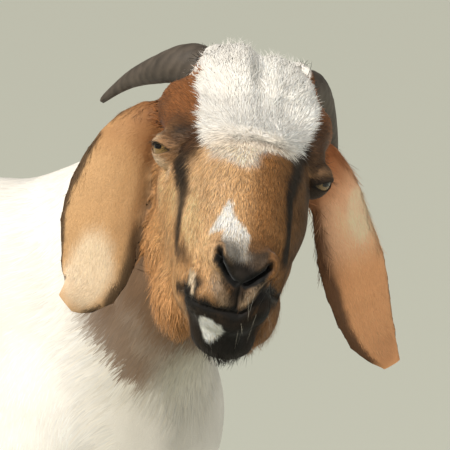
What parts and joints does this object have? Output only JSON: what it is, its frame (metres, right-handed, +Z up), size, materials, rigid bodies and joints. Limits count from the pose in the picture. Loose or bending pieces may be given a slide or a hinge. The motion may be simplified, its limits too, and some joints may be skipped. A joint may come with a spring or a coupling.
{
  "type": "goat",
  "caption": "Life-size standing lop-eared goat with short back-swept horns, white body and neck, tan face with a white crown, head turned to its right and tipped.",
  "frame": {"origin": "on the floor under the middle of the body's box", "axes": "+Y towards the tail, the goat faces -Y, +X is her left, +Z up"},
  "size_m": [0.419, 1.0524, 0.8274],
  "materials": {
    "face_coat": "short tan hair with a white crown, dark stripes and a black mouth",
    "ear_coat": "short tan hair with cream patches and a thin dark margin",
    "body_coat": "white to cream hair lying back along the body",
    "leg_coat": "short flat white hair",
    "horn_sheath": "grey-brown horn with shallow growth rings",
    "hoof_horn": "dark hoof horn, dull, with growth lines",
    "eyeball": "wet amber iris with a level slit pupil under a clear front",
    "udder_skin": "bare pink skin"
  },
  "bodies": {
    "root": {"head": "face_coat", "neck": "body_coat", "horn_left": "horn_sheath", "ear_left": "ear_coat", "eye_left": "eyeball", "horn_right": "horn_sheath", "ear_right": "ear_coat", "eye_right": "eyeball", "trunk": "body_coat", "tail": "body_coat", "udder": "udder_skin", "foreleg_right": "leg_coat", "hoof_fore_right_a": "hoof_horn", "dewclaw_fore_right_a": "hoof_horn", "hoof_fore_right_b": "hoof_horn", "dewclaw_fore_right_b": "hoof_horn", "foreleg_left": "leg_coat", "hoof_fore_left_a": "hoof_horn", "dewclaw_fore_left_a": "hoof_horn", "hoof_fore_left_b": "hoof_horn", "dewclaw_fore_left_b": "hoof_horn", "hindleg_right": "leg_coat", "hoof_hind_right_a": "hoof_horn", "dewclaw_hind_right_a": "hoof_horn", "hoof_hind_right_b": "hoof_horn", "dewclaw_hind_right_b": "hoof_horn", "hindleg_left": "leg_coat", "hoof_hind_left_a": "hoof_horn", "dewclaw_hind_left_a": "hoof_horn", "hoof_hind_left_b": "hoof_horn", "dewclaw_hind_left_b": "hoof_horn"}
  },
  "joints": []
}
